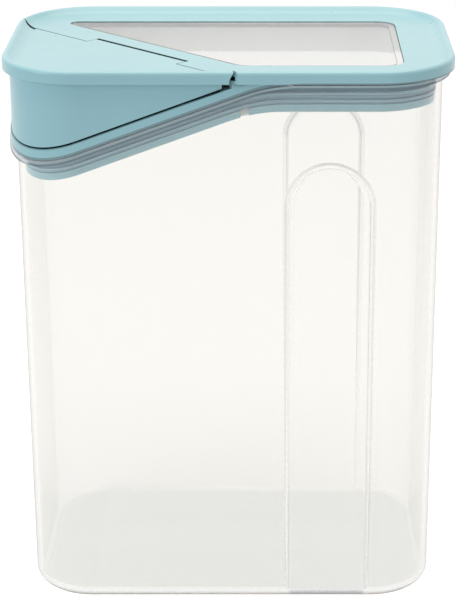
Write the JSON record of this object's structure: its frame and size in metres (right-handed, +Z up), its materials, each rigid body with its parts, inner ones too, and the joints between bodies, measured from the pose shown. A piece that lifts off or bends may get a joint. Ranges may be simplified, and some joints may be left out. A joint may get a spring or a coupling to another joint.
{
  "type": "cereal container with flip spout",
  "caption": "Tall clear rectangular food keeper with a sloped front corner, lid with clear window and a hinged flip cover over the pouring mouth.",
  "frame": {"origin": "centre of the flat underside of the container, on the surface it stands on", "axes": "+X to the right along the wide side, +Y to the back along the narrow side, +Z up; the pouring corner is at -X, -Y"},
  "size_m": [0.19, 0.12, 0.244],
  "materials": {
    "container_body": "clear moulded plastic",
    "lid_frame": "satin moulded plastic",
    "skirt_liner": "pale translucent plastic",
    "window_pane": "clear moulded plastic",
    "main_seal": "translucent silicone",
    "flip_cover": "satin moulded plastic",
    "cover_seal": "translucent silicone"
  },
  "bodies": {
    "container": {"container_body": "container_body"},
    "lid": {"lid_frame": "lid_frame", "skirt_liner": "skirt_liner", "window_pane": "window_pane", "main_seal": "main_seal"},
    "cover": {"flip_cover": "flip_cover", "cover_seal": "cover_seal"}
  },
  "joints": [
    {"name": "lid_lift", "type": "slide", "parent": "container", "child": "lid", "axis": [0, 0, 1], "range_m": [0, 0.06]},
    {"name": "cover_hinge", "type": "hinge", "parent": "lid", "child": "cover", "pos_m": [-0.03838, -0.01227, 0.2392], "axis": [-0.7193, 0.6947, 0], "range_deg": [0, 90]}
  ]
}
